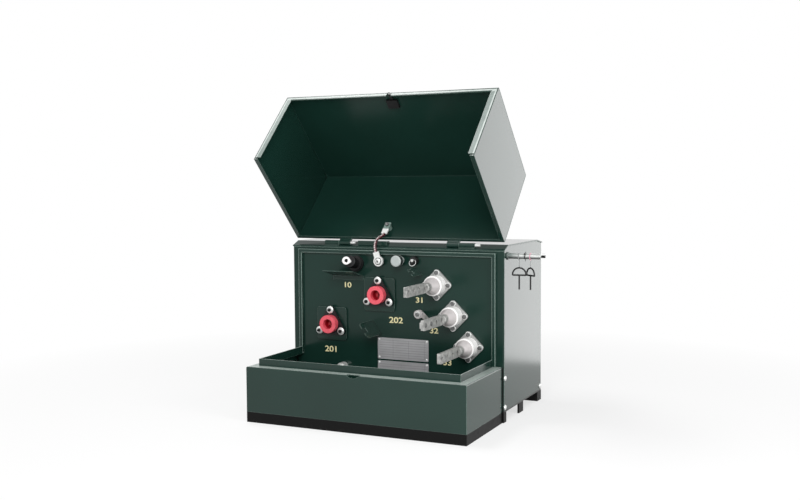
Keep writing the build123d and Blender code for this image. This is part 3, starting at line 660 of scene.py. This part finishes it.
# Hood: one folded sheet with a side welded into each end and lips turned in all round, in the
# enamel. The lips are pale where they meet the sill, partly rubbed and partly a painted reflection,
# with a painted highlight beside the bend and a painted shadow along the front lip's inner edge.
# A black latch box sits inside its front, with a zinc plated tongue.
hinge = Vector(frame["record"]["behaviour"]["joints"][0]["pos_m"])
swing = Matrix.Rotation(math.radians(-135), 3, "X")


def swung_open(place):
    """Where a place on the shut hood is while the hood stands open."""
    return hinge + swing @ (place - hinge)


out_of_mouth = swing @ Vector((0, 0, -1))
out_of_front = swing @ Vector((0, -1, 0))
lip_foot = Vector((0, 0, 0.199))
hood_front = Vector((0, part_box("sill_front")[0].y, 0))
lip_distance = swung_open(lip_foot).dot(out_of_mouth)
front_distance = swung_open(hood_front).dot(out_of_front)
half_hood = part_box("hood_fold")[1].x
lip_width = 0.02
front_lip_share = 0.4


def from_lip_bend(wire, spread):
    """Distance on the lips from the nearest outer face, and the front lip's inner edge."""
    to_side = half_hood - wire.math("ABSOLUTE", wire.axes(spread)[0])
    to_front = front_distance - wire.dot(spread, out_of_front)
    # Painted shadow: a dark line along the front lip's inner edge.
    inner_edge_shadow = to_front.between(0.0145, 0.0155)
    inner_edge_shadow = inner_edge_shadow * (1 - to_front.between(lip_width, lip_width + 0.0005))
    inner_edge_shadow = inner_edge_shadow * to_side.between(lip_width, lip_width + 0.0005)
    return wire.math("MINIMUM", to_side, to_front * front_lip_share), inner_edge_shadow


hood_wear_and_sheen = (out_of_mouth, lip_distance - 0.001, from_lip_bend)
hood_paint = enamel("hood_enamel", 0.17, rub_and_sheen=hood_wear_and_sheen, shine=1.46)
coat(hood_paint, "hood_left_side", "hood_right_side")
coat(enamel("fold_enamel", 0.17, rub_and_sheen=hood_wear_and_sheen, shine=1.28), "hood_fold")
latch_finish, wire = new_finish("latch_finish", {"IOR": 1.4})
spread = wire.spread()
cloud = wire.noise(spread, 200.0, 3.0)
tongue = wire.dot(spread, out_of_mouth).between(lip_distance - 0.004, lip_distance - 0.003)
latch_box = wire.colour(cloud, moulding_dark, moulding_pale)
feed(latch_finish, {
    "Base Color": wire.colour(tongue, latch_box, rgb(206, 208, 206)),
    "Roughness": 0.34 + cloud * 0.15,
    "Metallic": tongue * 0.6,
})
coat(latch_finish, "hood_latch")

# Earth strap: a limp tinned copper braid from a lug on the front plate to a lug inside the hood, so
# the hood stays earthed as it swings. A cross-slotted bolt holds the tank's tinned lug on a painted
# boss, and a hexagon bolt holds the painted end of the hood's.
boss_end, boss_top = 0.014, 0.59
painted_line = 0.676
lug_metal, wire = new_finish("lug_metal", {"IOR": 1.45})
spread = wire.spread()
cloud = wire.noise(spread, 140.0, 3.0)
_, back, up = wire.axes(spread)
boss = back.between(front - boss_end - 0.001, front - boss_end)
boss = boss * (1 - up.between(boss_top, boss_top + 0.01))
painted = (back + up).between(painted_line, painted_line + 0.004)
tin = wire.colour(cloud, rgb(206, 208, 206), rgb(232, 233, 231))
dull_green = wire.colour(cloud, rgb(84, 110, 101), rgb(132, 152, 145))
feed(lug_metal, {
    "Base Color": wire.colour(boss, wire.colour(painted, tin, dull_green), rgb(18, 45, 38)),
    "Roughness": 0.3 + cloud * 0.16,
    "Normal": wire.bump(wire.noise(spread, 800.0), 0.08, 0.0002),
})
coat(lug_metal, "earth_lug_tank", "earth_lug_hood")
lug_x, lug_z = -51.0, 545.0
lug_face = -23.0
slotted = turned([(11.0, 0.0), (11.0, 2.2), (10.0, 4.6), (7.5, 6.0)], 28)
lug_bolt = placed(slotted, (lug_x, lug_face, lug_z), forward)
make_piece("earth_bolt_tank", [lug_bolt], zinc, "tank")


def bar(length, width, height):
    """A flat bar lying along X, in millimetres, with its top a little smaller than its foot."""
    points = []
    for up, share in ((0.0, 1.0), (height, 0.9)):
        for x, y in ((-1, -1), (1, -1), (1, 1), (-1, 1)):
            points.append(Vector((x * length / 2 * share, y * width / 2 * share, up)))
    sides = [(0, 1, 5, 4), (1, 2, 6, 5), (2, 3, 7, 6), (3, 0, 4, 7)]
    return points, [(3, 2, 1, 0), (4, 5, 6, 7), *sides]


slot = bar(13.0, 2.4, 0.8)
cross = [placed(slot, (lug_x, lug_face - 5.6, lug_z), forward, turn) for turn in (28, 118)]
cross.append(placed(ring(12.2, 0.9), (lug_x, lug_face - 0.2, lug_z), forward))
make_piece("earth_bolt_cross", cross, dark_steel, "tank")
bolt_open = swung_open(Vector((-46.0 * mm, front - 61.0 * mm, 586.0 * mm)))
at = (bolt_open.x / mm, (bolt_open.y - front) / mm, bolt_open.z / mm)
hood_bolt = placed(bolt_head, at, out_of_mouth, 12)
make_piece("earth_bolt_hood", [hood_bolt], bolt_steel, "hood")
strap_diameter = 10.0 * mm
strap_route = [
    (-46.0, 18.70, 641.86),
    (-48.5, 10.9, 634.1),
    (-58.5, 2.5, 628.5),
    (-65.5, -8.0, 617.5),
    (-65.5, -16.5, 603.0),
    (-63.6, -20.5, 588.93),
    (-60.43, -20.5, 577.88),
]
line = bpy.data.curves.new("earth_strap_line", "CURVE")
line.dimensions = "3D"
line.resolution_u = 16
spline = line.splines.new("NURBS")
spline.points.add(len(strap_route) - 1)
for point, (x, y, z) in zip(spline.points, strap_route):
    point.co = (x * mm, front + y * mm, z * mm, 1)
spline.order_u = 3
spline.use_endpoint_u = True
route_object = bpy.data.objects.new("earth_strap_line", line)
bpy.context.scene.collection.objects.link(route_object)
bpy.context.view_layer.update()
evaluated = route_object.evaluated_get(bpy.context.evaluated_depsgraph_get())
path_mesh = bpy.data.meshes.new_from_object(evaluated)
path = [point.co.copy() for point in path_mesh.vertices]
bpy.data.objects.remove(route_object)
points = []
faces = []
sides = 24
previous = Vector((1, 0, 0))
for index, place in enumerate(path):
    ahead = path[min(index + 1, len(path) - 1)] - path[max(index - 1, 0)]
    ahead.normalize()
    across = (previous - ahead * previous.dot(ahead)).normalized()
    previous = across
    beside = ahead.cross(across)
    for side in range(sides):
        turn = 2 * math.pi * side / sides
        out = across * math.cos(turn) + beside * math.sin(turn)
        points.append(place + out * strap_diameter / 2)
for step in range(len(path) - 1):
    here, there = step * sides, (step + 1) * sides
    for side in range(sides):
        after = (side + 1) % sides
        faces.append((here + side, here + after, there + after, there + side))
faces.append(tuple(range(sides))[::-1])
faces.append(tuple(range((len(path) - 1) * sides, len(path) * sides)))
mesh = bpy.data.meshes.new("earth_braid")
mesh.from_pydata(points, [], faces)
mesh.shade_smooth()
weave = mesh.uv_layers.new(name="weave")
runs = [0.0]
for first, second in zip(path, path[1:]):
    runs.append(runs[-1] + (second - first).length)
for polygon in mesh.polygons:
    for corner in polygon.loop_indices:
        vertex = mesh.loops[corner].vertex_index
        side = vertex % sides
        if side == 0 and polygon.vertices[0] % sides == sides - 1:
            side = sides
        weave.data[corner].uv = (side / sides, runs[vertex // sides] / strap_diameter / math.pi)
strands = 6
braid, wire = new_finish("braid", {"Metallic": 0.3})
around, along, _ = wire.axes(wire.spread("UV"))
left_lay = wire.math("PINGPONG", around * strands + along * strands, 0.5)
right_lay = wire.math("PINGPONG", around * strands - along * strands, 0.5)
over = wire.math("MAXIMUM", left_lay, right_lay)
# Painted shade: the tracer is left off one side of the strap, which stays dark red.
shaded = wire.math("PINGPONG", around, 0.5).between(0.15, 0.2)
tracer = wire.math("PINGPONG", around * 2 + along * 5, 0.5).between(0.12, 0.22) * shaded
copper = wire.noise(wire.spread(), 120.0, 3.0).between(0.4, 0.65)
bright = wire.colour(copper, rgb(244, 240, 238), rgb(232, 212, 209))
dark = wire.colour(copper, rgb(82, 14, 28), rgb(42, 8, 16))
feed(braid, {
    "Base Color": wire.colour(over.between(0.15, 0.4) * tracer, dark, bright),
    "Roughness": 0.34 + copper * 0.2,
    "Normal": wire.bump(over, 0.6, 0.0008),
})
mesh.materials.append(braid)
strap = bpy.data.objects.new("earth_braid", mesh)
bpy.context.scene.collection.objects.link(strap)
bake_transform(strap)
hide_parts("earth_strap")

# Lifting pin and locking pins: a steel pin on the right wall, painted at its root and bare beyond,
# and darker on its underside as painted shade, with two bent wire pins hung on it by ties, a twist
# of black wire, and a small split ring through its tip.
pin_low, pin_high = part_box("lifting_pins")
pin_middle = (pin_low.z + pin_high.z) / 2
black_tip = 0.014
paint_fades, paint_ends = 0.012, 0.05
steel, wire = new_finish("lifting_steel", {"IOR": 1.4})
spread = wire.spread()
cloud = wire.noise(spread, 60.0, 4.0)
along = wire.axes(spread)[0]
tip = along.between(pin_high.x - black_tip - 0.0002, pin_high.x - black_tip + 0.0002)
bare = along.between(pin_low.x + paint_fades, pin_low.x + paint_ends)
# Painted shade: surfaces facing down are darker and rougher.
underside_shade = (wire.axes(wire.spread("Normal"))[2] * -1).between(-0.2, 0.5)
metal = wire.colour(cloud, rgb(196, 200, 198), rgb(232, 234, 232))
metal = wire.colour(bare, rgb(118, 127, 124), wire.colour(tip, metal, rgb(12, 12, 12)))
feed(steel, {
    "Base Color": wire.colour(underside_shade * 0.85, metal, rgb(40, 42, 42)),
    "Roughness": 0.22 + cloud * 0.2 + underside_shade * 0.3,
    "Metallic": bare * (0.6 - underside_shade * 0.6),
})
coat(steel, "lifting_pins")
tie_end = pin_middle - 0.036
pink_end = pin_middle - 0.012
pink_start = pin_low.x + 0.06
wire_paint, wire = new_finish("black_wire", {"IOR": 1.45})
spread = wire.spread()
cloud = wire.noise(spread, 300.0)
along, _, up = wire.axes(spread)
tie = up.between(tie_end - 0.0006, tie_end)
pink = along.between(pink_start, pink_start + 0.01) * up.between(pink_end - 0.003, pink_end)
thread = wire.colour(pink, rgb(140, 142, 142), rgb(206, 150, 164))
black_wire = wire.colour(cloud, rgb(6, 6, 6), rgb(16, 16, 16))
feed(wire_paint, {
    "Base Color": wire.colour(tie, black_wire, thread),
    "Roughness": 0.35 + cloud * 0.2,
})
coat(wire_paint, "eye_pins")
pin_y = ((pin_low.y + pin_high.y) / 2 - front) / mm
pin_z = pin_middle / mm
twist_x = side_wall + 62.0
loop = ring(10.4, 0.9)
tail = turned([(0.9, 0.0), (0.9, 13.0), (0.5, 13.6)], 12)
twist = [
    placed(loop, (twist_x, pin_y, pin_z), (1, 0, 0.25)),
    placed(loop, (twist_x + 1.5, pin_y, pin_z), (1, 0.1, -0.2)),
    placed(tail, (twist_x, pin_y - 9.0, pin_z + 4.0), (0.45, -0.1, 1)),
    placed(tail, (twist_x + 1.0, pin_y - 9.0, pin_z - 3.0), (0.3, -0.1, -1)),
]
make_piece("wire_twist", twist, moulding, "tank")
split_ring = placed(ring(6.0, 0.7), (pin_high.x / mm - 6.0, pin_y, pin_z + 4.5), (0.3, -1, 0))
make_piece("split_ring", [split_ring], zinc, "tank")

# Studio: camera where the photograph was taken from, a pale floor that keeps the shadow and fades
# to white, a white surround, and four soft lamps.
camera_focal = 1014.64
image_width = 800.0
camera_yaw, camera_pitch, camera_roll = 25.12, 3.87, -0.36
camera_place = (1.5492, front - 3.25034, 0.82843)
camera_data = bpy.data.cameras.new("camera")
camera_data.sensor_width = 36.0
camera_data.lens = camera_focal / image_width * camera_data.sensor_width
camera = bpy.data.objects.new("camera", camera_data)
bpy.context.scene.collection.objects.link(camera)
turn = Matrix.Rotation(math.radians(camera_yaw), 4, "Z")
turn = turn @ Matrix.Rotation(math.radians(90 - camera_pitch), 4, "X")
turn = turn @ Matrix.Rotation(math.radians(camera_roll), 4, "Z")
camera.matrix_world = Matrix.Translation(camera_place) @ turn
bpy.context.scene.camera = camera


def shown_rays(wire):
    """1 for what is seen directly or in a gloss or glass, 0 for light on the object."""
    kinds = wire.node("LightPath", {}, {}).socket.node.outputs
    seen = 0.0
    for kind in ("Is Camera Ray", "Is Glossy Ray", "Is Transmission Ray"):
        seen = seen + Wire(wire.tree, kinds[kind])
    return seen.clipped()


reach = 40.0
floor_corners = [(-reach, -reach, 0), (reach, -reach, 0), (reach, reach, 0), (-reach, reach, 0)]
floor_mesh = bpy.data.meshes.new("floor")
floor_mesh.from_pydata(floor_corners, [], [(0, 1, 2, 3)])
floor_sockets = {"Roughness": 0.9, "Specular IOR Level": 0.0, "Base Color": rgb(236, 236, 236)}
floor_finish, wire = new_finish("floor", floor_sockets)
spread = wire.spread()
away = wire.node("VectorMath", {"operation": "LENGTH"}, {0: spread}, "Value")
floor_x, floor_y, _ = wire.axes(spread)
sill_half, sill_start, soft_edge = 0.38, -0.34, 0.02
in_sill = 1 - wire.math("ABSOLUTE", floor_x).between(sill_half, sill_half + soft_edge)
in_sill = in_sill * floor_y.between(sill_start, sill_start + soft_edge)
in_sill = in_sill * (1 - floor_y.between(0.0, soft_edge))
glow = wire.node("Emission", {}, {"Color": (1, 1, 1, 1), "Strength": 1.0})
tree = floor_finish.node_tree
mixed = wire.node("MixShader", {}, {
    0: shown_rays(wire) * (0.65 + away.between(0.8, 2.2) * 0.35) * (1 - in_sill),
    1: Wire(tree, tree.nodes["Principled BSDF"].outputs[0]),
    2: glow,
})
tree.links.new(mixed.socket, tree.nodes["Material Output"].inputs["Surface"])
floor_mesh.materials.append(floor_finish)
floor = bpy.data.objects.new("floor", floor_mesh)
bpy.context.scene.collection.objects.link(floor)

world = bpy.data.worlds.new("studio")
bpy.context.scene.world = world
world.use_nodes = True
strength = 0.4 + shown_rays(Wire(world.node_tree)) * 0.6
background = world.node_tree.nodes["Background"]
background.inputs["Color"].default_value = (1, 1, 1, 1)
world.node_tree.links.new(strength.socket, background.inputs["Strength"])


def softbox(name, at, aim, width, height, watts):
    """A square studio lamp turned towards a point."""
    lamp_data = bpy.data.lights.new(name, "AREA")
    lamp_data.shape = "RECTANGLE"
    lamp_data.size = width
    lamp_data.size_y = height
    lamp_data.energy = watts
    lamp = bpy.data.objects.new(name, lamp_data)
    bpy.context.scene.collection.objects.link(lamp)
    lamp.location = at
    lamp.rotation_mode = "QUATERNION"
    lamp.rotation_quaternion = (Vector(at) - Vector(aim)).to_track_quat("Z", "Y")
    lamp.visible_camera = False
    return lamp


softbox("key_lamp", (1.2, -3.4, 2.4), (0, -0.1, 0.5), 2.0, 2.0, 104)
softbox("overhead_lamp", (-1.03, -0.05, 3.1), (0, -0.05, 0.8), 1.5, 0.8, 42)
side_lamp = softbox("side_lamp", (0.98, 1.15, 0.85), (0.98, 0, 0.85), 0.9, 1.7, 8.6)
side_lamp.visible_diffuse = False
softbox("right_lamp", (3.2, -1.2, 1.4), (0, -0.1, 0.5), 1.4, 1.4, 44)

bpy.context.scene.view_settings.view_transform = "Standard"
